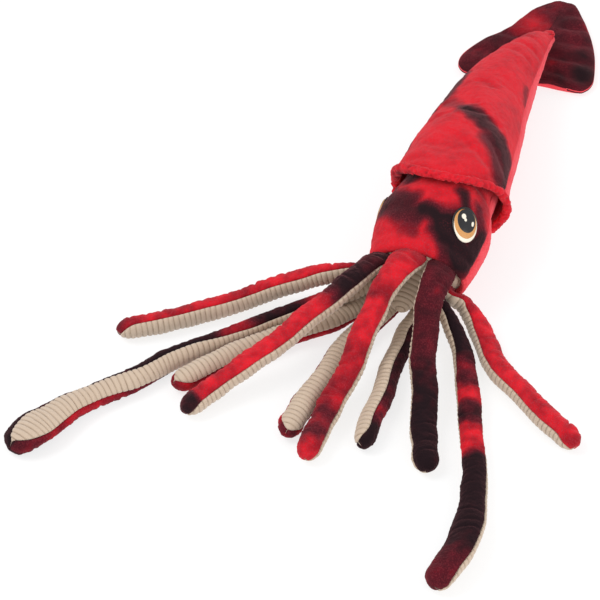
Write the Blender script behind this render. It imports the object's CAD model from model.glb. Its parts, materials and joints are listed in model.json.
"""Plush giant squid: covers, fill, hem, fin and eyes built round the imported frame.

Tables are in millimetres from the arm ring. Finished meshes are in metres, in the part's frame.
"""

import json
import math

import bpy
import numpy as np
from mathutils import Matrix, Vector, noise


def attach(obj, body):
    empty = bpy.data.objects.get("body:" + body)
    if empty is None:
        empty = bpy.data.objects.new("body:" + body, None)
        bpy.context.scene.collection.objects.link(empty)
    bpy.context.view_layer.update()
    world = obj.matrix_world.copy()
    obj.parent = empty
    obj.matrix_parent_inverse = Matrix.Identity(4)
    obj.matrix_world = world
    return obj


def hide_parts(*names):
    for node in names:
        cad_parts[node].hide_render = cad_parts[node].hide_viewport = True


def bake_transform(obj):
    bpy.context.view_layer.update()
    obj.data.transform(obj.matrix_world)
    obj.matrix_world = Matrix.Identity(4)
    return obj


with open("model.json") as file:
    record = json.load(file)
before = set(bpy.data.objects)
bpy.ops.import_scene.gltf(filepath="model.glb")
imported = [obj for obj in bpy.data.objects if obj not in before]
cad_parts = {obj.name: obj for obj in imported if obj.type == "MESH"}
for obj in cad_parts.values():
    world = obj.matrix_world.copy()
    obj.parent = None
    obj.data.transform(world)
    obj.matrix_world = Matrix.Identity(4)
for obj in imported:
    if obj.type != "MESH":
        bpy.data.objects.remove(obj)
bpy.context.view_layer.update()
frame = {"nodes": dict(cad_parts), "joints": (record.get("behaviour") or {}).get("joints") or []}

MM = 0.001
RING_AT = np.array([-109.0, -46.0, 0.0])

# ---- camera, floor and light

CAMERA_AT = (-1.443, -0.415, 1.296)
CAMERA_AIM = (-0.137, 0.060, 0.0)
LENS_MM = 114
SENSOR_MM = 36
SKY_STRENGTH = 0.84
FLOOR_HALF = 6
FLOOR_COLOUR = (0.28, 0.28, 0.28, 1)
FLOOR_GLOW = 0.735

# Area lights: place, size and power
LIGHTS = {"key": ((-0.7, 1.2, 1.9), 1.1, 21), "fill": ((-0.9, -1.8, 0.9), 1.6, 17)}
LIGHT_AIM = (0, 0, 0.05)


def aim(thing, target):
    way = Vector(target) - thing.location
    thing.rotation_euler = way.to_track_quat("-Z", "Y").to_euler()


def new_object(name, data):
    thing = bpy.data.objects.new(name, data)
    bpy.context.scene.collection.objects.link(thing)
    return thing


def make_camera():
    data = bpy.data.cameras.new("camera")
    data.lens = LENS_MM
    data.sensor_width = SENSOR_MM
    camera = new_object("camera", data)
    camera.location = CAMERA_AT
    aim(camera, CAMERA_AIM)
    bpy.context.scene.camera = camera


def make_light(name, at, size, power):
    data = bpy.data.lights.new(name, "AREA")
    data.size = size
    data.energy = power
    light = new_object(name, data)
    light.location = at
    aim(light, LIGHT_AIM)


def make_studio():
    world = bpy.data.worlds.new("studio")
    world.use_nodes = True
    sky = world.node_tree.nodes["Background"]
    sky.inputs["Color"].default_value = (1.0, 1.0, 1.0, 1)
    sky.inputs["Strength"].default_value = SKY_STRENGTH
    bpy.context.scene.world = world
    bpy.context.scene.view_settings.view_transform = "Standard"
    for name, light in LIGHTS.items():
        make_light(name, *light)

    data = bpy.data.meshes.new("floor")
    corners = [(FLOOR_HALF * i, FLOOR_HALF * j, 0) for i, j in ((-1, -1), (1, -1), (1, 1), (-1, 1))]
    data.from_pydata(corners, [], [(0, 1, 2, 3)])
    floor = new_object("floor", data)
    paper = Nodes("paper")
    paper.set(Base_Color=FLOOR_COLOUR, Emission_Color=(1, 1, 1, 1))
    paper.set(Emission_Strength=FLOOR_GLOW, Roughness=0.9, Specular_IOR_Level=0.0)
    floor.data.materials.append(paper.material)


# ---- materials


class Nodes:
    """A new node material, with short ways to add and join its nodes."""

    def __init__(self, name):
        self.material = bpy.data.materials.new(name)
        self.material.use_nodes = True
        self.tree = self.material.node_tree
        self.shader = self.tree.nodes["Principled BSDF"]
        self.place = self.tree.nodes.new("ShaderNodeTexCoord").outputs["Object"]

    def join(self, value, socket):
        if isinstance(value, (int, float, tuple)):
            socket.default_value = value
        else:
            self.tree.links.new(value, socket)

    def noise(self, scale, detail=2.0, stretch=None):
        node = self.tree.nodes.new("ShaderNodeTexNoise")
        node.inputs["Scale"].default_value = scale
        node.inputs["Detail"].default_value = detail
        place = self.place
        if stretch:
            mapping = self.tree.nodes.new("ShaderNodeMapping")
            mapping.inputs["Scale"].default_value = stretch
            self.join(place, mapping.inputs["Vector"])
            place = mapping.outputs["Vector"]
        self.join(place, node.inputs["Vector"])
        return node.outputs["Fac"]

    def attribute(self, name):
        node = self.tree.nodes.new("ShaderNodeAttribute")
        node.attribute_name = name
        return node.outputs["Fac"]

    def math(self, kind, a, b, c=None):
        node = self.tree.nodes.new("ShaderNodeMath")
        node.operation = kind
        for value, socket in zip((a, b, c), node.inputs):
            if value is not None:
                self.join(value, socket)
        return node.outputs["Value"]

    def ramp(self, value, stops):
        node = self.tree.nodes.new("ShaderNodeValToRGB")
        ramp = node.color_ramp
        while len(ramp.elements) < len(stops):
            ramp.elements.new(0.5)
        for element, (at, colour) in zip(ramp.elements, stops):
            element.position = at
            element.color = (*colour, 1)
        self.join(value, node.inputs["Fac"])
        return node.outputs["Color"]

    def mix(self, share, a, b, kind="MIX"):
        node = self.tree.nodes.new("ShaderNodeMix")
        node.data_type = "RGBA"
        node.blend_type = kind
        sockets = [s for s in node.inputs if s.type == "RGBA"]
        self.join(share, node.inputs["Factor"])
        for value, socket in zip((a, b), sockets):
            self.join((*value, 1) if isinstance(value, tuple) else value, socket)
        return [s for s in node.outputs if s.type == "RGBA"][0]

    def bump(self, height, strength, distance):
        node = self.tree.nodes.new("ShaderNodeBump")
        node.inputs["Strength"].default_value = strength
        node.inputs["Distance"].default_value = distance
        self.join(height, node.inputs["Height"])
        self.join(node.outputs["Normal"], self.shader.inputs["Normal"])

    def set(self, **values):
        for name, value in values.items():
            self.join(value, self.shader.inputs[name.replace("_", " ")])


RED = (0.64, 0.011, 0.021)
DEEP_RED = (0.30, 0.006, 0.013)
BURGUNDY = (0.072, 0.006, 0.012)
BLACK = (0.012, 0.006, 0.008)
CORAL = (0.84, 0.085, 0.105)
PILE_LIGHT = (0.86, 0.09, 0.12)


def velour(name, base, shadow, sheen):
    """Short pile: airbrushed tone from the mesh, clumped by noise, with lighter pile tips."""
    n = Nodes(name)
    clumps = n.noise(105, 4)
    pile = n.noise(760, 3)
    hairs = n.noise(2300, 2)
    tone = n.math("MULTIPLY_ADD", n.math("SUBTRACT", clumps, 0.46), 0.24, n.attribute("tone"))
    tone = n.math("MULTIPLY_ADD", n.math("SUBTRACT", pile, 0.5), 0.42, tone)
    stops = [(0.0, base), (0.20, shadow), (0.48, BURGUNDY), (0.88, BLACK)]
    cloth = n.ramp(tone, stops)
    tips = n.math("MULTIPLY", n.math("SUBTRACT", pile, 0.47), n.math("SUBTRACT", 1.0, tone))
    tips = n.math("MAXIMUM", n.math("MULTIPLY", tips, 1.3), 0.0)
    n.set(Base_Color=n.mix(tips, cloth, PILE_LIGHT), Roughness=0.9)
    n.set(Sheen_Weight=sheen, Sheen_Roughness=0.45, Specular_IOR_Level=0.08)
    n.set(Sheen_Tint=(1.0, 0.34, 0.38, 1))
    height = n.math("MULTIPLY_ADD", hairs, 0.4, pile)
    n.bump(height, 0.6, 0.0009)
    return n.material


def corduroy():
    """Cream wale: pale along each rib and brown in the valleys, with a short nap."""
    n = Nodes("corduroy")
    nap = n.noise(1500, 3)
    soil = n.noise(60, 3)
    rib = n.math("MULTIPLY_ADD", n.math("SUBTRACT", nap, 0.5), 0.30, n.attribute("rib"))
    stops = [(0.0, (0.20, 0.135, 0.09)), (0.34, (0.43, 0.33, 0.245)), (0.80, (0.55, 0.435, 0.335))]
    cloth = n.ramp(rib, stops)
    n.set(Base_Color=n.mix(n.math("MULTIPLY", soil, 0.35), cloth, (0.43, 0.32, 0.235)))
    n.set(Roughness=0.9, Sheen_Weight=0.35, Sheen_Roughness=0.5, Specular_IOR_Level=0.1)
    n.bump(nap, 0.4, 0.0006)
    return n.material


def fibre_fill():
    n = Nodes("fibre_fill")
    strands = n.noise(900, 4, (1, 1, 0.2))
    n.set(Base_Color=n.ramp(strands, [(0.3, (0.62, 0.62, 0.60)), (0.7, (0.9, 0.9, 0.88))]))
    n.set(Roughness=0.95, Sheen_Weight=0.4, Sheen_Roughness=0.5, Specular_IOR_Level=0.1)
    n.bump(strands, 0.7, 0.002)
    return n.material


def eye_print(name, colour, darker, gloss):
    """Smooth printed satin with its faint thread."""
    n = Nodes(name)
    thread = n.noise(2600, 2, (1, 0.25, 1))
    n.set(Base_Color=n.ramp(thread, [(0.35, darker), (0.6, colour)]))
    n.set(Roughness=gloss, Specular_IOR_Level=0.35, Coat_Weight=0.25, Coat_Roughness=0.25)
    n.bump(thread, 0.15, 0.0003)
    return n.material


MATERIALS = {
    "plush_red": velour("plush_red", RED, DEEP_RED, 0.30),
    "plush_burgundy": velour("plush_burgundy", RED, DEEP_RED, 0.12),
    "plush_coral": velour("plush_coral", CORAL, RED, 0.45),
    "corduroy_cream": corduroy(),
    "stuffing": fibre_fill(),
    "eye_white": eye_print("eye_white", (0.86, 0.80, 0.68), (0.74, 0.67, 0.54), 0.45),
    "eye_amber": eye_print("eye_amber", (0.63, 0.31, 0.10), (0.50, 0.22, 0.06), 0.45),
    "eye_black": eye_print("eye_black", (0.012, 0.012, 0.014), (0.006, 0.006, 0.007), 0.3),
}

# ---- curves and noise


def fit(a, b, c, d, t):
    """Smooth curve from b to c, with a before them and d after."""
    return 0.5 * (
        2 * b + (c - a) * t + (2 * a - 5 * b + 4 * c - d) * t * t
        + (3 * b - a - 3 * c + d) * t * t * t
    )


def along(rows, u, before=None):
    """Values of the smooth curve through rows at every u, after a run-in row before the first."""
    before = 2 * rows[0] - rows[1] if before is None else before
    rows = np.vstack([before, rows, 2 * rows[-1] - rows[-2]])
    i = np.clip(u.astype(int), 0, len(rows) - 4)
    t = (u - i)[:, None]
    return fit(rows[i], rows[i + 1], rows[i + 2], rows[i + 3], t)


def curve(table, steps, before=None):
    """The smooth curve through a table, with that many steps from row to row."""
    u = np.linspace(0, len(table) - 1, steps * (len(table) - 1) + 1)
    return along(table, u, before)


def travelled(points):
    """Distance along a row of points, at each of them."""
    return np.concatenate([[0], np.cumsum(np.linalg.norm(np.diff(points, axis=0), axis=1))])


def sampled(rows, run, at):
    """Rows at other distances along them."""
    return np.stack([np.interp(at, run, column) for column in rows.T], axis=1)


def bumps(points, size, seed=0):
    """Smooth noise from -1 to 1 at every point, with features of that size."""
    shift = Vector((17.3 * seed, 9.1 * seed, 5.7 * seed))
    flat = (points.reshape(-1, 3) / size).tolist()
    values = [noise.noise(Vector(p) + shift) for p in flat]
    return np.array(values).reshape(points.shape[:-1])


def wrapped(angles):
    """The same angles, from -180 to 180 degrees."""
    return (angles + 180) % 360 - 180


def smooth(low, high, value):
    t = np.clip((value - low) / (high - low), 0, 1)
    return t * t * (3 - 2 * t)


def bell(value, width):
    return np.exp(-((value / width) ** 2))


def unit(vectors):
    return vectors / np.maximum(np.linalg.norm(vectors, axis=-1, keepdims=True), 1e-9)


def normals(grid, middle):
    """Normals of a grid of points, turned away from the middle of each row."""
    across = np.gradient(grid, axis=1)
    down = np.gradient(grid, axis=0)
    n = unit(np.cross(down, across))
    out = np.sum(n * (grid - middle[:, None, :]), axis=-1, keepdims=True)
    return n * np.where(np.sum(out) < 0, -1.0, 1.0)


# ---- meshes


def loop_faces(rows, cols, strips):
    """Quads between loops of points. With as many strips as rows, the last meets the first."""
    i, j = np.meshgrid(np.arange(strips), np.arange(cols), indexing="ij")
    near, far, on = i * cols, (i + 1) % rows * cols, (j + 1) % cols
    return np.stack([near + j, near + on, far + on, far + j], axis=-1).reshape(-1, 4)


def tube(name, rings, slot, **marks):
    """Closed mesh through rows of points that each run round a closed loop, capped at both ends."""
    rows, cols = rings.shape[:2]
    faces = loop_faces(rows, cols, rows - 1)
    points = (rings.reshape(-1, 3) + RING_AT) * MM
    quads = points[faces]
    signed = np.sum(quads[:, 0] * np.cross(quads[:, 1], quads[:, 2])
                    + quads[:, 0] * np.cross(quads[:, 2], quads[:, 3]))
    caps = [list(range(cols))[::-1], list(range((rows - 1) * cols, rows * cols))]
    if signed < 0:
        faces = faces[:, ::-1]
        caps = [cap[::-1] for cap in caps]
    return mesh_piece(name, points, faces.tolist() + caps, slot, marks)


def mesh_piece(name, points, faces, slot, marks):
    data = bpy.data.meshes.new(name)
    data.from_pydata(points.tolist(), [], faces)
    for mark, values in marks.items():
        layer = data.attributes.new(mark, "FLOAT", "POINT")
        layer.data.foreach_set("value", np.ravel(values).astype(np.float32))
    data.polygons.foreach_set("use_smooth", np.ones(len(faces), bool))
    data.materials.append(MATERIALS[slot])
    data.update()
    piece = new_object(name, data)
    return piece


def shell(name, outer, inner, slot, **marks):
    """Cover of cloth: a detailed outer grid and a plain inner one, joined along their edges."""
    rings = np.concatenate([outer, inner[:, ::-1]], axis=1)
    rest = np.zeros(inner.shape[:2])
    whole = {m: np.concatenate([v, rest + v.mean()], axis=1) for m, v in marks.items()}
    return tube(name, rings, slot, **whole)


def pile(points, seed):
    """Fine unevenness of brushed pile, in millimetres."""
    return 0.45 * bumps(points, 3.1, seed) + 0.34 * bumps(points, 1.7, seed + 1)


def seam(distance, depth, width):
    """Dip of a cover towards a seam that is this far away."""
    return -depth * bell(distance, width)


# ---- cloth simulation

CLOTH_FRAMES = 20
CLOTH = {
    "quality": 5, "mass": 0.2, "tension_stiffness": 12, "compression_stiffness": 8,
    "bending_stiffness": 0.4, "use_pressure": True, "uniform_pressure_force": 4.0,
    "vertex_group_mass": "pinned",
}


def inflate(name, rings, pinned_rows, slack, cap_mm):
    """Moves of a closed tube of cloth as its fill swells it, found by simulation."""
    rows, cols = rings.shape[:2]
    piece = tube(name, rings, "stuffing")
    group = piece.vertex_groups.new(name="pinned")
    held = [r * cols + c for r in pinned_rows for c in range(cols)]
    group.add(held, 1.0, "REPLACE")
    cloth = piece.modifiers.new("cloth", "CLOTH")
    for setting, value in CLOTH.items():
        setattr(cloth.settings, setting, value)
    cloth.settings.shrink_min = -slack
    cloth.settings.effector_weights.gravity = 0
    cloth.collision_settings.use_collision = False
    scene = bpy.context.scene
    for step in range(1, CLOTH_FRAMES + 1):
        scene.frame_set(step)
    seen = piece.evaluated_get(bpy.context.evaluated_depsgraph_get())
    moved = np.array([v.co for v in seen.data.vertices]) / MM - RING_AT
    moves = moved.reshape(rows, cols, 3) - rings
    size = np.linalg.norm(moves, axis=-1, keepdims=True)
    moves *= np.minimum(1, cap_mm / np.maximum(size, 1e-6))
    bpy.data.objects.remove(piece)
    scene.frame_set(1)
    return np.nan_to_num(moves)


def spread(moves, row_at, col_at):
    """Moves of a coarse grid, closed across its columns, at finer rows and columns."""
    rows, cols = moves.shape[:2]
    i = np.clip(row_at.astype(int), 0, rows - 2)
    t = smooth(0, 1, np.clip(row_at - i, 0, 1))[:, None, None]
    by_row = moves[i] * (1 - t) + moves[i + 1] * t
    j = np.floor(col_at).astype(int)
    s = smooth(0, 1, col_at - j)[None, :, None]
    return by_row[:, j % cols] * (1 - s) + by_row[:, (j + 1) % cols] * s


# ---- head and mantle

BODY_ROLL = 18
SEAM_ANGLE = 94
BACK_FROM = BODY_ROLL - SEAM_ANGLE
BACK_TO = BODY_ROLL + SEAM_ANGLE
NECK_X = 118
NECK_Y = -5
DOME_R = 50
DOME_H = 47
PLUSH_T = 2.2

# Along the body: x, y, z, half width, half height
HEAD = np.array([
    [0, -6, 45, 50, 33], [30, -6, 51, 55, 45], [65, -6, 57, 57, 52],
    [94, -5, 60, 50.5, 48.5], [NECK_X, NECK_Y, 61, DOME_R, DOME_H],
], float)

RIM_X = 106
MANTLE_L = 366
MANTLE = np.array([
    [0.00, -5, 61, 58.5, 57], [0.07, -4, 60, 56.5, 57.5], [0.165, -3, 58, 53.5, 56.5],
    [0.29, -2, 54, 49.5, 51.5], [0.435, -1, 50, 43.5, 45.5], [0.58, -2, 46, 37, 38.5],
    [0.725, -8, 42, 28, 27.5], [0.855, -14, 35, 19, 19], [0.95, -19.5, 28, 11, 11.5],
    [0.99, -20.7, 24, 5, 6], [1.00, -21, 23, 2, 3],
], float)
MANTLE[:, 0] = RIM_X + MANTLE[:, 0] * MANTLE_L

BODY_STEP = 1.7
COARSE_STEP = 7.0
COARSE_COLS = 48
CLOTH_INSET = 1.2
FILL_STEP = 8
FILL_INSET = 6
LINING_COLS = 14

# The rim of the mantle reaches forwards over the back of the head
RIM_BACK = 11
LOBE_REACH = 48
LOBE_ANGLE = 3
LOBE_SPAN = 58
LOBE_RUN = 80


def rim_shift(angles):
    """How far the rim lies behind its plane at angles from the top; in front where negative."""
    return RIM_BACK - LOBE_REACH * bell(wrapped(angles - LOBE_ANGLE), LOBE_SPAN)


def stations(table, step):
    """Evenly spaced rows along a body, from the smooth curve through its table."""
    rows = curve(table, 40)
    run = travelled(rows[:, [0, 3]])
    return sampled(rows, run, np.linspace(0, run[-1], int(run[-1] / step) + 1))


def round_grid(rows, angles, inset=0.0, lobe=False):
    """Points on the oval section of every row at every angle from the top, in degrees."""
    a = np.radians(angles)[None, :]
    x = np.repeat(rows[:, 0:1], len(angles), axis=1)
    if lobe:
        x = x + rim_shift(angles)[None, :] * np.clip(1 - (x - RIM_X) / LOBE_RUN, 0, 1) ** 2
    y = rows[:, 1:2] + (rows[:, 3:4] - inset) * np.sin(a)
    z = rows[:, 2:3] + (rows[:, 4:5] - inset) * np.cos(a)
    return np.stack([x, y, z], axis=-1)


def streak(x, arc, path, width, soft):
    """How much of an airbrushed streak, from 0 to 1, lies at each place of an unrolled cover."""
    near = np.full(x.shape, 1e9)
    path = np.array(path, float)
    for a, b in zip(path[:-1], path[1:]):
        d = b - a
        t = np.clip(((x - a[0]) * d[0] + (arc - a[1]) * d[1]) / (d @ d), 0, 1)
        near = np.minimum(near, np.hypot(x - a[0] - t * d[0], arc - a[1] - t * d[1]))
    return 1 - smooth(width - soft, width + soft, near)


# Airbrushed streaks on the plush: path of (x, degrees from the top), half width, strength
MANTLE_STREAKS = [
    ([(192, 6), (184, -6), (174, -22), (165, -39), (155, -54), (144, -64), (124, -70)], 10, 1.0),
    ([(150, -34), (124, -52), (112, -62)], 13, 0.62),
    ([(292, 62), (264, 57), (238, 60)], 12, 1.0),
    ([(250, 66), (204, 80)], 13, 0.85),
    ([(236, 52), (208, 30), (192, 12)], 8, 0.26),
    ([(330, 62), (304, 84)], 8, 0.7),
    ([(150, 76), (134, 92)], 12, 0.85),
    ([(300, -62), (280, -72)], 6, 0.35),
    ([(420, 20), (400, 40)], 9, 0.14),
]
HEAD_STREAKS = [
    ([(100, 66), (88, 50), (80, 36)], 9, 0.9),
    ([(84, 72), (66, 70), (50, 62)], 13, 0.9),
    ([(62, 56), (50, 40), (44, 26)], 10, 0.62),
    ([(46, 52), (34, 32), (30, 14)], 11, 0.62),
    ([(36, 8), (32, -10), (33, -24)], 9, 0.82),
    ([(30, -20), (22, -34), (14, -48)], 14, 1.0),
    ([(8, -50), (18, -64), (38, -68)], 13, 1.0),
    ([(24, -14), (10, -30)], 10, 0.7),
    ([(68, -24), (54, -31)], 6.5, 0.85),
    ([(60, -50), (44, -60)], 9, 0.5),
    ([(88, -46), (70, -58)], 8, 0.25),
    ([(22, 26), (14, 12)], 7, 0.35),
    ([(60, 96), (30, 104)], 16, 0.7),
]

# Creases across the body: x at their middle, lean per degree, depth, half width, middle, span
MANTLE_CREASES = [
    (404, 0.10, 0.9, 3.6, -8, 50), (380, 0.12, 1.5, 4.0, -12, 60), (354, 0.16, 1.1, 4.4, -6, 50),
    (290, -0.10, 0.7, 6.0, 50, 30), (124, 0.52, 2.0, 4.6, -18, 30), (144, 0.70, 1.3, 5.0, -42, 22),
    (96, 0.30, 1.2, 3.6, 30, 24), (240, 0.10, 1.0, 6.0, 96, 34), (190, -0.12, 1.2, 6.0, 110, 34),
]
HEAD_CREASES = [
    (70, 0.05, 1.0, 4.0, 30, 26), (56, -0.08, 0.9, 4.0, 0, 30), (88, 0.10, 1.2, 3.0, -48, 22),
    (40, 0.12, 0.8, 4.0, 40, 26), (12, 0.05, 1.4, 3.0, 0, 60), (14, -0.05, 1.2, 2.6, -60, 30),
]


def creases(points, x, angles, table, seed):
    drop = np.zeros(x.shape)
    wander = 3.0 * bumps(points, 30, seed)
    for at, lean, depth, width, middle, span in table:
        off = x - at - lean * (angles - middle) + wander
        window = bell(angles - middle, span)
        drop -= depth * window * bell(off, width)
        drop += 0.45 * depth * window * bell(np.abs(off) - 2.3 * width, 1.5 * width)
    return drop


def tones(x, angles, half_width, table, points, seed):
    """Airbrushed tone of a cover, with soft uneven edges."""
    arc = np.radians(angles) * half_width
    wobble_x = x + 5.0 * bumps(points, 14, seed)
    wobble_arc = arc + 5.0 * bumps(points, 14, seed + 1)
    tone = 0.04 + 0.08 * bumps(points, 26, seed + 2)
    for path, width, strength in table:
        halves = [float(np.interp(px, x[:, 0], half_width[:, 0])) for px, _ in path]
        flat = [(px, math.radians(pa) * half) for (px, pa), half in zip(path, halves)]
        soft = strength * streak(wobble_x, wobble_arc, flat, width, 0.8 * width)
        tone = np.maximum(tone, soft) + 0.25 * np.minimum(np.maximum(tone, 0), soft)
    return tone


def head_rows(step):
    """Rows of the head from its rolled front edge to the dome inside the collar."""
    front = stations(HEAD, step)
    tuck = [
        [x, -6, 45 - 0.2 * (3 - x), 50 - drop, 33 - drop]
        for x, drop in ((6, 7), (2, 6.4), (-1, 4.2), (-1.6, 2.2))
    ]
    dome = [
        [NECK_X + DOME_R * math.sin(a), NECK_Y, 61, DOME_R * math.cos(a), DOME_H * math.cos(a)]
        for a in np.radians(np.arange(3, 79, 3))
    ]
    return np.vstack([tuck, front, dome])


def shares(rows):
    """How far along its body each row lies, from 0 to 1."""
    run = travelled(rows[:, [0, 3]])
    return run / run[-1]


class Form:
    """Head or mantle: its rows, and the moves of its cloth found by simulation on a coarse copy."""

    def __init__(self, name, rows_of, slack, cap_mm, lobe=False):
        self.rows = rows_of(BODY_STEP)
        self.lobe = lobe
        simple = rows_of(COARSE_STEP)
        ring = np.arange(COARSE_COLS) * 360 / COARSE_COLS
        rings = round_grid(simple, ring, CLOTH_INSET, lobe)
        ends = [0, 1, len(simple) - 2, len(simple) - 1]
        self.moves = inflate(name, rings, ends, slack, cap_mm)
        self.row_at = np.interp(shares(self.rows), shares(simple), np.arange(len(simple)))

    def swell(self, angles):
        return spread(self.moves, self.row_at, (angles % 360) * COARSE_COLS / 360)


def floor_flat(points):
    """Cloth that would sink below the surface lies flat on it."""
    low = 0.6
    z = points[..., 2]
    points[..., 2] = np.where(z < 3, np.maximum(low + 0.12 * bumps(points, 5, 3), z), z)
    return points


def body_panel(name, form, first, last, table, crease_table, slot, node, body, seed, shapes=()):
    """One sewn panel of the head or mantle between two seam angles."""
    rows = form.rows
    steps = int((last - first) / 360 * 2 * math.pi * rows[:, 3].max() / BODY_STEP)
    angles = np.linspace(first, last, steps)
    grid = round_grid(rows, angles, lobe=form.lobe) + form.swell(angles)
    middle = rows[:, :3]
    way = normals(grid, middle)
    x = grid[..., 0]
    turned = np.repeat(angles[None, :], len(rows), axis=0)
    half = np.repeat(rows[:, 3:4], len(angles), axis=1)
    from_seam = np.radians(np.minimum(turned - first, last - turned)) * half
    pucker = 0.5 + 0.5 * bumps(grid, 6, seed + 5)
    waves = 0.9 * bumps(grid, 34, seed) + 0.35 * bumps(grid, 11, seed + 1)
    move = seam(from_seam, 1.4 + 0.8 * pucker, 2.6) + waves
    move += creases(grid, x, turned, crease_table, seed) + pile(grid, seed + 2)
    for shape in shapes:
        move += shape(x, turned)
    outer = floor_flat(grid + way * move[..., None])
    coarse = np.linspace(0, len(angles) - 1, LINING_COLS).astype(int)
    inner = outer[:, coarse] - way[:, coarse] * np.minimum(PLUSH_T, 0.5 * rows[:, 3])[:, None, None]
    tone = tones(x, turned, half, table, grid, seed + 7)
    piece = shell(name, outer, inner, slot, tone=tone)
    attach(piece, body)
    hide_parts(node)


def collar_roll(x, angles):
    """The mantle draws in at its rim across the back and swells just behind it."""
    behind = x - RIM_X - rim_shift(angles)
    return bell(angles - 2, 60) * (1.8 * bell(behind - 16, 11) - 1.6 * bell(behind, 4))


def neck_draw(x, angles):
    """The head draws in where it turns inside the collar."""
    return -2.4 * smooth(48, 78, x) + 0 * angles


def brow(x, angles):
    """Full cheek and front edge of the head, before the collar."""
    return 2.0 * bell(x - 44, 22) * bell(angles - 66, 26) + 1.2 * bell(x - 8, 7) * bell(angles, 70)


def fill_core(name, rings, node, body, seed):
    """Lumpy fibre fill inside a cover."""
    middle = rings.mean(axis=1)
    way = unit(rings - middle[:, None, :])
    lumps = 0.5 * bumps(rings, 9, seed) - 0.4
    piece = tube(name, rings + way * lumps[..., None], "stuffing")
    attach(piece, body)
    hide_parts(node)


def make_body():
    head = Form("head_cloth", head_rows, 0.01, 1.2)
    mantle = Form("mantle_cloth", lambda step: stations(MANTLE, step), 0.02, 2.5, lobe=True)
    full = BACK_FROM + 360
    body_panel("head_back_cover", head, BACK_FROM, BACK_TO, HEAD_STREAKS, HEAD_CREASES,
               "plush_red", "head_upper_panel", "head", 1, [neck_draw, brow])
    body_panel("head_belly_cover", head, BACK_TO, full, [], [],
               "plush_coral", "head_belly_panel", "head", 2, [neck_draw])
    body_panel("mantle_back_cover", mantle, BACK_FROM, BACK_TO, MANTLE_STREAKS, MANTLE_CREASES,
               "plush_red", "mantle_upper_panel", "mantle", 3, [collar_roll])
    body_panel("mantle_belly_cover", mantle, BACK_TO, full, [], [],
               "plush_coral", "mantle_belly_panel", "mantle", 4)
    ring = np.arange(0, 360, 15)
    core = head_rows(FILL_STEP)
    core = core[core[:, 0] > 14]
    fill_core("head_fill", round_grid(core, ring, FILL_INSET), "head_stuffing", "head", 5)
    core = stations(MANTLE, FILL_STEP)
    core = core[(core[:, 0] > 178) & (core[:, 3] > 9)]
    fill_core("mantle_fill", round_grid(core, ring, FILL_INSET), "mantle_stuffing", "mantle", 6)


# ---- rolled hem of the mantle

HEM_R = 5.0
HEM_HALF_W = 60
HEM_Z = 62
HEM_HALF_H = HEM_Z - HEM_R
HEM_THICK_AT = 62
HEM_THIN_AT = 318
HEM_TUCKED_AT = 86


def make_hem():
    """Curly roll round the mantle's rim, thicker on the toy's right and thin on its left."""
    around, sides = 300, 30
    a = np.linspace(0, 2 * math.pi, around, endpoint=False)
    degrees = np.degrees(a)
    off_thick = wrapped(degrees - HEM_THICK_AT)
    off_thin = wrapped(degrees - HEM_THIN_AT)
    tucked = off_thick + HEM_THICK_AT - HEM_TUCKED_AT
    radius = HEM_R * (0.94 + 0.30 * bell(off_thick, 24) - 0.14 * bell(off_thin, 34))
    radius = np.where(np.cos(a) < -0.6, HEM_R, radius)
    lean = 1.2 * np.sin(2 * a) + 0.9 * np.sin(3 * a + 1)
    x = RIM_X - 0.72 * radius + rim_shift(degrees) + 0.7 * lean + 2.5 * bell(tucked, 18)
    half_w = HEM_HALF_W - 3 * bell(tucked, 34)
    middle = np.stack([x, NECK_Y + half_w * np.sin(a), HEM_Z + HEM_HALF_H * np.cos(a)], axis=1)
    out = unit(np.stack([0 * a, HEM_HALF_H * np.sin(a), HEM_HALF_W * np.cos(a)], axis=1))
    way = unit(np.roll(middle, -1, axis=0) - np.roll(middle, 1, axis=0))
    third = np.cross(way, out)
    b = np.linspace(0, 2 * math.pi, sides, endpoint=False)[None, :, None]
    sweep = np.cos(b) * out[:, None, :] + np.sin(b) * third[:, None, :]
    grid = middle[:, None, :] + radius[:, None, None] * 0.9 * sweep
    curls = 1.7 * bumps(grid, 3.6, 21) + 0.7 * bumps(grid, 1.7, 22) + 0.9 * bumps(grid, 10, 23)
    grid = floor_flat(grid + sweep * curls[..., None])
    tone = 0.02 + 0.25 * bell(off_thick, 30)[:, None] * (0.4 + bumps(grid, 7, 24)) - 0.10 * curls
    points = (grid.reshape(-1, 3) + RING_AT) * MM
    faces = loop_faces(around, sides, around).tolist()
    piece = mesh_piece("mantle_hem_roll", points, faces, "plush_red", {"tone": np.clip(tone, 0, 1)})
    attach(piece, "mantle")
    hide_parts("mantle_hem")


# ---- eyes

EYE_AT = {-1: (37, -39), 1: (60, 87)}
EYE_TILT = 0.24
EYE_L = 31
EYE_W = 27.5
EYE_ROUND = 54
EYE_DEPTH = 0.8

# Each layer of an eye: name, slot, lift from the head, shift and size, CAD node, thickness.
# Shift and size run along the body first, then round it.
EYE_LAYERS = [
    ("rim", "eye_black", 1.3, (0.9, -0.3), (EYE_L + 1.4, EYE_W + 0.8), None, 0.5),
    ("cream", "eye_white", 1.8, (-1.0, 0.3), (EYE_L - 1.6, EYE_W - 1), "white", 0.5),
    ("amber", "eye_amber", 2.2, (0.8, -0.5), (EYE_L - 4, EYE_W - 2.6), "iris", 0.5),
    ("dark", "eye_black", 2.6, (3.2, -0.4), (EYE_L - 9, EYE_W - 7.6), "pupil", 0.5),
    ("shine_large", "eye_white", 3.1, (6.0, -4.4), (5.0, 4.6), None, 0.25),
    ("shine_small", "eye_white", 3.1, (3.4, -2.2), (3.0, 2.8), None, 0.25),
    ("shine_edge", "eye_white", 3.1, (2.6, 6.2), (4.6, 2.8), None, 0.25),
]


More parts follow.
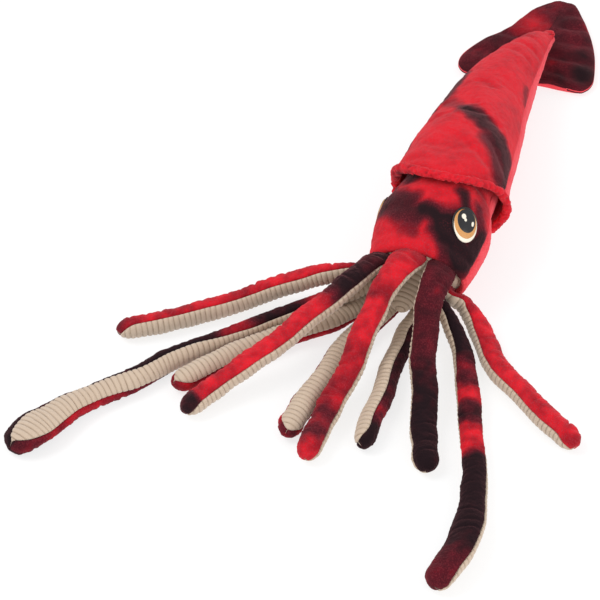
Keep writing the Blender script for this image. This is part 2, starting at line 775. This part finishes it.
def on_head(x, angle, lift):
    """Place on the swollen head at a distance from the arm ring and an angle from the top."""
    u = np.interp(x, HEAD[:, 0], np.arange(len(HEAD)))
    rows = along(HEAD, u.ravel())
    a = np.radians(angle).ravel()
    rise = (lift + 0 * x).ravel()
    y = rows[:, 1] + (rows[:, 3] + rise) * np.sin(a)
    z = rows[:, 2] + (rows[:, 4] + rise) * np.cos(a)
    return np.stack([x.ravel(), y, z], axis=1).reshape(*x.shape, 3)


def eye_layer(name, side, slot, lift, shift, size, thick):
    """Oval patch that lies on the swollen head."""
    rho = np.array([0.02, 0.2, 0.4, 0.6, 0.8, 0.93, 1.0])
    tau = np.linspace(0, 2 * math.pi, 56, endpoint=False)
    long = shift[0] + size[0] / 2 * rho[:, None] * np.cos(tau)[None, :]
    wide = shift[1] + size[1] / 2 * rho[:, None] * np.sin(tau)[None, :]
    c, s = math.cos(EYE_TILT), math.sin(EYE_TILT)
    dx, arc = long * c + wide * s, wide * c - long * s
    dome = thick * np.sqrt(np.clip(1 - rho**4, 0, 1))[:, None] + 0 * dx
    eye_x, eye_angle = EYE_AT[side]
    angle = eye_angle + side * np.degrees(arc / EYE_ROUND)
    top = on_head(eye_x + dx, angle, lift + dome)
    under = on_head(eye_x + dx, angle, lift - EYE_DEPTH + 0 * dome)[::-1]
    return tube(name, np.concatenate([top, under[:1], under[-1:]]), slot)


def make_eye(label, side):
    """Black rim, cream white, amber iris, black pupil and three small highlights."""
    for layer, slot, lift, shift, size, node, thick in EYE_LAYERS:
        piece = eye_layer(f"{label}_{layer}", side, slot, lift, shift, size, thick)
        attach(piece, "head")
        if node:
            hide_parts(f"{label}_{node}")


# ---- arms and tentacles

ARM_W = 12.5
ARM_H = 11
ROOT_RUN = 22
LIE_GAP = 0.3
TUCK = 8
RIB_PITCH = 5.4
RIB_H = 1.2
LIMB_STEP = RIB_PITCH / 8
SEAM_CLEAR = 1.0
SINK = 6.0
TIP_RIM = 3
TIP_ROUND = 1.35
CORDUROY_T = 2.4
PLUSH_COLS = 34
CORDUROY_COLS = 24
ALL_PLUSH_HALF = (92, 92)

# From the ring outwards: x, y, z, roll of the plush side from the top, share of the full width
ARM_ROUTES = {
    "arm_1": [
        [-3, 42, 36, 70, .65], [-14, 64, 40, 60, .8], [-30, 104, 30, 50, 1],
        [-68, 160, 15, 56, 1], [-112, 211, 12.5, 60, 1], [-142, 255, 12.5, 58, .9],
    ],
    "arm_2": [
        [-3, 33, 60, 20, .8], [-41, 47, 57, 25, 1], [-78, 67, 47, 28, 1],
        [-126, 91, 38, 34, 1], [-165, 116, 27, 38, 1], [-196, 139, 16, 40, 1],
        [-221, 153, 12.5, 40, .95],
    ],
    "arm_3": [
        [-3, 3, 71, 5, 1], [-48, 13, 62, 15, 1], [-88, 16, 48, 20, 1],
        [-124, 18, 34, 20, 1], [-175, 23, 18, 22, 1], [-238, 26, 12.5, 22, .95],
    ],
    "arm_4": [
        [-3, -32, 65, -22, .85], [-43, -31, 57, -14, 1], [-85, -40, 39, -12, 1],
        [-127, -53, 23, -12, 1], [-167, -67, 12.5, -12, 1], [-214, -83, 12.5, -12, 1],
    ],
    "arm_5": [
        [-3, -43, 36, -75, .65], [-10, -60, 27, -60, .8], [-26, -80, 16, -48, 1],
        [-58, -102, 12.5, -40, 1], [-88, -135, 12.5, -36, 1], [-115, -172, 12.5, -34, 1],
        [-138, -204, 12.5, -34, 1],
    ],
    "arm_6": [
        [-3, -22, 26, -150, .65], [-20, -17, 17, -130, .8], [-49, -12, 12.5, -115, .9],
        [-79, -13, 12.5, -112, .95], [-129, -15, 12.5, -112, .95], [-173, -17, 12.5, -112, .95],
        [-206, -19, 12.5, -112, .9],
    ],
    "arm_7": [
        [-3, 2, 21, 180, .65], [-22, 14, 14, 175, .8], [-68, 32, 12, 165, .95],
        [-130, 43, 12, 160, .95], [-176, 49, 12, 160, .95], [-216, 53, 12, 160, .95],
    ],
    "arm_8": [
        [-3, 22, 26, 150, .65], [-22, 39, 12, 165, .8], [-62, 66, 12, 180, .9],
        [-105, 110, 12, 180, .95], [-143, 140, 12, 180, .95], [-172, 160, 12, 180, .95],
        [-192, 175, 12, 180, .95],
    ],
}
TENTACLE_ROUTES = {
    "tentacle_right": [
        [-3, 20, 43, 100, .6], [-32, 54, 30, 80, .75], [-60, 95, 18, 60, .85],
        [-108, 144, 12.5, 60, .85], [-164, 190, 12.5, 120, .9], [-200, 213, 12.5, 165, .95],
        [-240, 246, 12.5, 192, 1.15], [-283, 270, 12.5, 196, 1.9], [-318, 283, 12.5, 196, 1.8],
    ],
    "tentacle_left": [
        [-3, -20, 42, -95, .6], [-38, -51, 30, -60, .75], [-60, -71, 18, -40, .85],
        [-98, -87, 12.5, -12, .9], [-139, -103, 12.5, 0, .9], [-181, -118, 12.5, 12, .9],
        [-233, -133, 12.5, 28, 1], [-281, -137, 12.5, 42, 1.45], [-340, -128, 12.5, 44, 1.35],
    ],
}

# Extra width where an arm joins the head: share, and how far it reaches
FLARES = {
    "arm_1": (0.3, 26), "arm_2": (0.35, 22), "arm_3": (0.42, 28), "arm_4": (0.45, 28),
    "arm_5": (0.4, 24),
}

# Airbrushed tone along the plush: distance from the ring, tone from red (0) to black (1)
LIMB_TONES = {
    "arm_1": [(0, .5), (20, .3), (36, .06), (62, .12), (100, .04), (128, .24), (160, .05),
              (198, .22), (236, .1), (256, .45)],
    "arm_2": [(0, .9), (20, .72), (34, .98), (62, .92), (78, .22), (92, .05), (130, .12),
              (160, .02), (200, .14), (235, .12), (243, .85), (255, .95)],
    "arm_3": [(0, .2), (30, .04), (58, .28), (72, .06), (108, .1), (122, .26), (138, .14),
              (158, .3), (176, .22), (194, .52), (206, .3), (220, .58), (229, .2), (245, .08)],
    "arm_4": [(0, .66), (30, .52), (60, .66), (95, .58), (125, .82), (160, .95), (228, 1)],
    "arm_5": [(0, .3), (15, .16), (40, .04), (80, .14), (120, .05), (170, .1), (200, .04),
              (219, .2)],
    "arm_6": [(0, .9), (100, .8), (150, .72), (163, .34), (176, .5), (188, 1), (207, 1)],
    "arm_7": [(0, .3), (120, .35), (180, .42), (198, .2), (212, .25), (223, .5)],
    "arm_8": [(0, .2), (150, .3), (200, .36), (236, .2), (249, .4)],
    "tentacle_right": [
        (0, .9), (50, .85), (62, .16), (84, .22), (98, .78), (135, .95), (148, .5), (160, .2),
        (180, .34), (195, .85), (230, 1), (300, .9), (330, .7), (385, .85), (405, 1), (422, 1),
    ],
    "tentacle_left": [
        (0, 1), (60, 1), (86, .95), (98, .55), (110, .42), (122, .62), (134, .12), (148, .08),
        (157, .72), (168, .8), (178, .16), (190, .04), (206, .06), (215, .4), (222, .98),
        (300, 1), (328, .9), (346, .55), (372, .5),
    ],
}

# How much lighter the plush is along one edge, from a distance outwards: distance, lightening
EDGE_LIGHT = {"tentacle_right": (245, 0.52)}

# Half angle of the plush side near the head and towards the tip
PLUSH_HALF = {
    "arm_6": (96, 96), "arm_7": (100, 103), "arm_8": (100, 107), "tentacle_right": (100, 128),
    "tentacle_left": (94, 97),
}

# Degrees by which the seams sit round towards one side on a tentacle's club
CLUB_TURN = {"tentacle_right": -20}


class Limb:
    """Even sections along an arm or tentacle, each with its middle, axes and half sizes."""

    def __init__(self, name, route):
        route = np.array(route, float)
        before = route[1] + [2 * ROOT_RUN, 0, 0, 2 * (route[0][3] - route[1][3]), 0]
        rows = curve(route, 60, before)
        roll, share = np.radians(rows[:, 3]), rows[:, 4]
        reach = np.hypot(ARM_W * share * np.sin(roll), ARM_H * np.minimum(1, share) * np.cos(roll))
        rows[:, 2] = np.maximum(rows[:, 2], reach + LIE_GAP)
        run = travelled(rows[:, :3])
        self.length = run[-1]
        self.s = np.linspace(-TUCK, self.length, int((self.length + TUCK) / LIMB_STEP))
        even = sampled(rows, run, self.s)
        start_way = unit(rows[1, :3] - rows[0, :3])
        self.middle = even[:, :3] + np.minimum(self.s, 0)[:, None] * start_way
        free = smooth(20, 60, self.s)[:, None] * smooth(0, 30, self.length - self.s)[:, None]
        wander = [bumps(self.s[:, None] * [1, 0, 0], 31, len(name) + shift) for shift in (1, 2)]
        self.middle[:, :2] += 1.8 * free * np.stack(wander, axis=1)
        way = unit(np.gradient(self.middle, axis=0))
        kernel = np.ones(9) / 9
        padded = np.pad(way, ((4, 4), (0, 0)), "edge")
        way = unit(np.stack([np.convolve(padded[:, k], kernel, "valid") for k in range(3)], axis=1))
        side = unit(np.cross(way, [0, 0, 1]))
        up = np.cross(side, way)
        roll = np.radians(even[:, 3])[:, None]
        self.out = np.cos(roll) * up + np.sin(roll) * side
        self.across = np.cos(roll) * side - np.sin(roll) * up
        round_l = TIP_ROUND * ARM_W * route[-1][4]
        q = np.clip((self.length - self.s) / round_l, 0, 1)
        share = even[:, 4] * np.maximum(0.10, np.sqrt(1 - (1 - q) ** 2))
        extra, far = FLARES.get(name, (0, 1))
        swell = 1 + 0.09 * bumps(self.s[:, None] * [0, 1, 0], 19, len(name) + 5) * free[:, 0]
        self.half_h = ARM_H * np.minimum(1, share) * swell
        self.half_w = ARM_W * share * swell * (1 + extra * bell(np.maximum(self.s, 0), far))
        self.middle -= self.out * (SINK * (1 - smooth(-6, 16, self.s)))[:, None]
        t = np.clip((self.length - TIP_RIM - self.s) / (1.1 * round_l), 0, 1)
        base, club = PLUSH_HALF.get(name, ALL_PLUSH_HALF)
        outward = smooth(0.48, 0.64, self.s / self.length)
        half = base + (club - base) * outward
        self.seam = 180 - (180 - half) * np.maximum(0.03, np.sqrt(1 - (1 - t) ** 2))
        self.turn = CLUB_TURN.get(name, 0) * outward[:, None]

    def plush_angles(self, count):
        """Angles over the plush side, row by row; near the tip the plush wraps round the end."""
        edge = self.seam - SEAM_CLEAR
        return self.turn + edge[:, None] * np.linspace(-1, 1, count)[None, :]

    def corduroy_angles(self, count):
        edge = 180 - self.seam - SEAM_CLEAR
        return 180 + self.turn + edge[:, None] * np.linspace(-1, 1, count)[None, :]

    def grid(self, angles, inset=0.0):
        """Points round the limb at angles from the plush side's middle, in degrees."""
        a = np.radians(angles)
        out = np.maximum(self.half_h - inset, 0.3)[:, None] * np.cos(a)
        across = np.maximum(self.half_w - inset, 0.3)[:, None] * np.sin(a)
        return (self.middle[:, None, :] + out[..., None] * self.out[:, None, :]
                + across[..., None] * self.across[:, None, :])

    def cut(self, first, last):
        """The same limb between two distances."""
        keep = (self.s >= first) & (self.s <= last)
        part = object.__new__(Limb)
        part.length = self.length
        for key in ("s", "middle", "out", "across", "half_w", "half_h", "seam", "turn"):
            setattr(part, key, getattr(self, key)[keep])
        return part


# Folds across a limb's plush: ranges of depth, middle, lean, span and gap to the next
FOLDS = ((0.25, 1.3), (-45, 45), (-0.06, 0.06), (30, 70), (9, 19))
FIRST_FOLD = 8.0


def limb_creases(limb, angles, seed):
    """Soft folds across the plush, unevenly spaced, that fade before the seams."""
    rng = np.random.default_rng(seed)
    s = limb.s[:, None] + 0 * angles
    drop = np.zeros(s.shape)
    at = FIRST_FOLD
    while at < limb.length:
        depth, middle, lean, span, gap = (rng.uniform(*ends) for ends in FOLDS)
        off = s - at - lean * (angles - middle)
        window = bell(angles - middle, span)
        drop -= depth * window * bell(off, 1.5)
        drop += 0.35 * depth * window * bell(np.abs(off) - 3.8, 2.6)
        at += gap
    return drop


def limb_tone(limb, name, angles, points, seed):
    """Airbrushed tone along a limb, with soft uneven ends to its bands."""
    stops = np.array(LIMB_TONES[name], float)
    place = limb.s[:, None] + 5 * bumps(points, 15, seed) + 2 * bumps(points, 6, seed + 1)
    tone = np.interp(place, stops[:, 0], stops[:, 1])
    if name in EDGE_LIGHT:
        first, light = EDGE_LIGHT[name]
        edge = smooth(0.3, 0.95, np.sin(np.radians(angles)))
        tone = tone - light * smooth(first, first + 20, place) * edge
    return np.clip(tone + 0.16 * bumps(points, 9, seed + 2), 0, 1)


def plush_strip(name, limb, route_name, slot, seed):
    angles = limb.plush_angles(PLUSH_COLS)
    grid = limb.grid(angles)
    way = normals(grid, limb.middle)
    fade = np.clip(limb.half_w / ARM_W, 0, 1)[:, None]
    from_seam = np.radians(limb.seam[:, None] - np.abs(angles - limb.turn)) * limb.half_w[:, None]
    move = seam(from_seam, 1.1, 1.7) + limb_creases(limb, angles, seed) * fade
    waves = 0.8 * bumps(grid, 16, seed) + 0.3 * bumps(grid, 5, seed + 1)
    move += waves * fade + pile(grid, seed + 2)
    outer = floor_flat(grid + way * move[..., None])
    inner = limb.grid(limb.plush_angles(9), PLUSH_T)
    return shell(name, outer, inner, slot, tone=limb_tone(limb, route_name, angles, grid, seed + 3))


def ribs(run):
    """Height of the corduroy's ribs, from 0 to 1, at distances across them."""
    phase = 2 * np.abs(run / RIB_PITCH - np.floor(run / RIB_PITCH) - 0.5)
    return 1 - phase**3


def corduroy_strip(name, limb, seed):
    angles = limb.corduroy_angles(CORDUROY_COLS)
    grid = limb.grid(angles)
    way = normals(grid, limb.middle)
    fade = np.clip(limb.half_w / ARM_W, 0.15, 1)[:, None]
    rib = ribs(limb.s[:, None] + 1.3 * bumps(grid, 19, seed))
    aside = np.abs(angles - 180 - limb.turn)
    from_seam = np.radians(180 - limb.seam[:, None] - aside) * limb.half_w[:, None]
    move = RIB_H * (rib - 0.5) * fade + seam(from_seam, 0.8, 1.2)
    move += 0.6 * bumps(grid, 17, seed + 1) * fade + 0.12 * bumps(grid, 1.2, seed + 2)
    outer = floor_flat(grid + way * move[..., None])
    inner = limb.grid(limb.corduroy_angles(7), CORDUROY_T)
    return shell(name, outer, inner, "corduroy_cream", rib=np.clip(rib, 0, 1))


JOINTS = {joint["name"]: joint for joint in frame["joints"]}
FILL_FROM_JOINT = 16
FILL_FROM_TIP = 13
FILL_DEPTH = 4.2


def bend_at(piece):
    """A cover that crosses a joint bends over a short run on either side of it."""
    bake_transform(piece)


def distance_of(limb, joint):
    """How far along a limb a joint lies."""
    at = np.array(joint["pos_m"]) / MM - RING_AT
    return float(limb.s[np.argmin(np.linalg.norm(limb.middle[:, :2] - at[:2], axis=1))])


def limb_fill(name, limb, joint, body, seed):
    """Fibre fill of a limb, from just past its last joint to its tip."""
    core = limb.cut(distance_of(limb, joint) + FILL_FROM_JOINT, limb.length - FILL_FROM_TIP)
    rings = core.grid(np.arange(0, 360, 30), FILL_DEPTH)[::5]
    fill_core(name + "_fill", rings, name + "_stuffing", body, seed)


def limb_covers(name, limb, route_name, slot, seed, plush_nodes, corduroy_nodes):
    """Plush and corduroy cover of a limb, or of one length of it, which bend at its joint."""
    plush = plush_strip(name + "_plush_cover", limb, route_name, slot, seed)
    corduroy = corduroy_strip(name + "_corduroy_cover", limb, seed + 50)
    for cover, nodes in ((plush, plush_nodes), (corduroy, corduroy_nodes)):
        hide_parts(*nodes)
        bend_at(cover)


def make_arm(name, route, seed):
    limb = Limb(name, route)
    joint = JOINTS[name + "_lift"]
    slot = "plush_burgundy" if name in ("arm_4", "arm_6") else "plush_red"
    root = [name + "_root"] if name + "_root" in frame["nodes"] else []
    limb_covers(name, limb, name, slot, seed, [name + "_plush", *root], [name + "_corduroy"])
    limb_fill(name, limb, joint, name, seed)


def make_tentacle(name, route, seed):
    """Slim inner length and club, with their covers parted halfway between the two joints."""
    limb = Limb(name, route)
    lift, curl = JOINTS[name + "_lift"], JOINTS[name + "_curl"]
    halfway = (distance_of(limb, lift) + distance_of(limb, curl)) / 2
    near, far = limb.cut(-TUCK, halfway + LIMB_STEP), limb.cut(halfway, limb.length)
    slot = "plush_burgundy"
    limb_covers(name + "_inner", near, name, slot, seed, [name + "_root"], [name + "_inner"])
    limb_covers(name + "_club", far, name, slot, seed, [name + "_plush"], [name + "_corduroy"])
    limb_fill(name, limb, curl, name + "_club", seed)


# ---- crown inside the ring of arms

# From inside the head's rim to the nose: x, y, z, half width, half height
CROWN = np.array([
    [9, -6, 45, 43.5, 26.5], [5, -5, 45, 43, 26], [1, -3, 45, 40, 24.5], [-4, -1, 45, 30, 20.5],
    [-10, 0, 43.5, 22, 15], [-20, 2, 39.5, 20, 11], [-30, 1, 38, 16, 9], [-38, -1, 37, 11, 6.8],
    [-44, -3, 36.5, 5, 3.6], [-45.5, -3, 36, 1, 0.8],
], float)


def make_crown():
    """Corduroy that closes the head inside the ring and stands forwards as a blunt nose."""
    rows = curve(CROWN, 12)
    angles = np.arange(0, 360, 5)
    grid = round_grid(rows, angles)
    run = travelled(grid[:, 0])
    rib = np.repeat(ribs(run)[:, None], len(angles), axis=1)
    outer = grid + normals(grid, rows[:, :3]) * (RIB_H * (rib - 0.5))[..., None]
    piece = tube("crown_lining", outer, "corduroy_cream", rib=rib)
    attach(piece, "head")
    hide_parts("mouth_disc")


# ---- tail fin

FIN_T = 14.0
FIN_ROWS = 110
FIN_COLS = 44
FIN_SEAM_Z = 0.42 * FIN_T
FIN_CLOTH_T = 1.6
FIN_RIGHT = np.array([
    [388, 24], [388, 54], [396, 66], [408, 70], [425, 68], [450, 58], [467, 48], [488, 33],
    [508, 26], [529, 18], [547, 5], [560, -13],
], float)
FIN_LEFT = np.array([
    [400, -40], [396, -72], [402, -81], [414, -85], [430, -84], [465, -76], [498, -64], [530, -48],
    [551, -35], [560, -25],
], float)
FIN_MIDDLE = np.array([[392, -8], [560, -19]], float)
FIN_PATCH_AT = {"fin_right": (500, 8), "fin_left": (425, -72)}
FIN_PATCH_R = 26

# Creases that run outwards over a lobe: share of the way to the tail, depth, half width
FIN_CREASES = {
    "fin_right": [(0.30, 1.6, 0.035), (0.52, 2.4, 0.03), (0.74, 1.6, 0.035)],
    "fin_left": [
        (0.22, 1.6, 0.03), (0.38, 2.3, 0.028), (0.55, 2.0, 0.03), (0.70, 2.2, 0.028),
        (0.84, 1.4, 0.03),
    ],
}


def outline(points, count):
    """Evenly spaced points on the smooth curve through an outline."""
    line = curve(points, 30, points[0])
    run = travelled(line)
    return sampled(line, run, np.linspace(0, run[-1], count))


def fin_tone(x, y, points, lobe):
    """Dark mottling, with a red patch on the right lobe and a black one on the left."""
    tone = 0.58 + 0.40 * bumps(points, 30, 61) + 0.10 * bumps(points, 9, 62)
    px, py = FIN_PATCH_AT[lobe]
    if lobe == "fin_right":
        red = bell(np.hypot((x - px) * 0.9, (y - py) * 1.1), FIN_PATCH_R)
        tone = tone * (1 - 0.85 * red)
    else:
        dark = bell(np.hypot((x - px) * 0.7, y - py), FIN_PATCH_R)
        tone = np.maximum(tone, 0.98 * dark)
    return np.clip(tone, 0, 1)


def make_lobe(lobe, rim_points, seed):
    """Upper and lower cover and the wadding of one half of the fin."""
    rows, cols = FIN_ROWS, FIN_COLS
    rim = outline(rim_points, rows)
    spine_t = np.linspace(0, 1, rows)[:, None] ** 1.15
    spine = FIN_MIDDLE[0] * (1 - spine_t) + FIN_MIDDLE[1] * spine_t
    r = 1 - np.linspace(1, 0, cols) ** 1.5
    flat = spine[:, None, :] * (1 - r)[None, :, None] + rim[:, None, :] * r[None, :, None]
    x, y = flat[..., 0], flat[..., 1]
    r = np.repeat(r[None, :], rows, axis=0)
    t = np.repeat(np.linspace(0, 1, rows)[:, None], cols, axis=1)
    ends = np.sqrt(np.clip(t / 0.10, 0, 1)) * np.sqrt(np.clip((1 - t) / 0.04, 0, 1))
    edge = np.sqrt(np.clip(1 - r**6, 0, 1)) * (0.25 + 0.75 * ends)
    level = np.stack([x, y, 0 * x + FIN_SEAM_Z], axis=-1)
    puff = 0.9 * bumps(level, 26, seed) + 0.6 * bumps(level, 9, seed + 1)
    within = smooth(0.1, 0.35, r)
    for at, depth, width in FIN_CREASES[lobe]:
        off = t - at - 0.05 * (r - 0.5) + 0.015 * bumps(level, 18, seed + 2)
        puff -= depth * bell(off, width) * within
        puff += 0.6 * depth * bell(np.abs(off) - 2.2 * width, 1.4 * width) * within
    top_z = FIN_SEAM_Z + edge * (0.56 * FIN_T + puff) + pile(level, seed + 4) * edge
    low_z = FIN_SEAM_Z - edge * (FIN_SEAM_Z - 0.5)
    upper = np.stack([x, y, top_z], axis=-1)
    lower = np.stack([x, y, low_z + 0.12 * bumps(level, 3, seed + 5) * edge], axis=-1)
    thin = np.array([0, 0, FIN_CLOTH_T])
    coarse = np.linspace(0, cols - 1, 12).astype(int)
    tone = fin_tone(x, y, level, lobe)
    covers = [
        shell(lobe + "_upper_cover", upper, upper[:, coarse] - thin, "plush_burgundy", tone=tone),
        shell(lobe + "_lower_cover", lower, lower[:, coarse] + thin, "plush_coral", tone=0 * tone),
    ]
    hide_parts(lobe + "_upper", "fin_spine")
    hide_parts(lobe + "_lower")
    for cover in covers:
        bend_at(cover)
    inside = slice(22, 33)
    pad_top = upper[20:-16:4, inside] - [0, 0, 3.0]
    pad_low = lower[20:-16:4, inside] + [0, 0, 2.6]
    rings = np.concatenate([pad_top, pad_low[:, ::-1]], axis=1)
    pad = tube(lobe + "_pad", rings, "stuffing")
    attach(pad, lobe)
    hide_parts(lobe + "_wadding")


# ---- the toy

make_camera()
make_studio()
make_body()
make_hem()
make_eye("eye_left", -1)
make_eye("eye_right", 1)
for number, (arm, arm_route) in enumerate(ARM_ROUTES.items()):
    make_arm(arm, arm_route, 100 + 10 * number)
for number, (tentacle, tentacle_route) in enumerate(TENTACLE_ROUTES.items()):
    make_tentacle(tentacle, tentacle_route, 300 + 10 * number)
make_crown()
make_lobe("fin_right", FIN_RIGHT, 400)
make_lobe("fin_left", FIN_LEFT, 420)
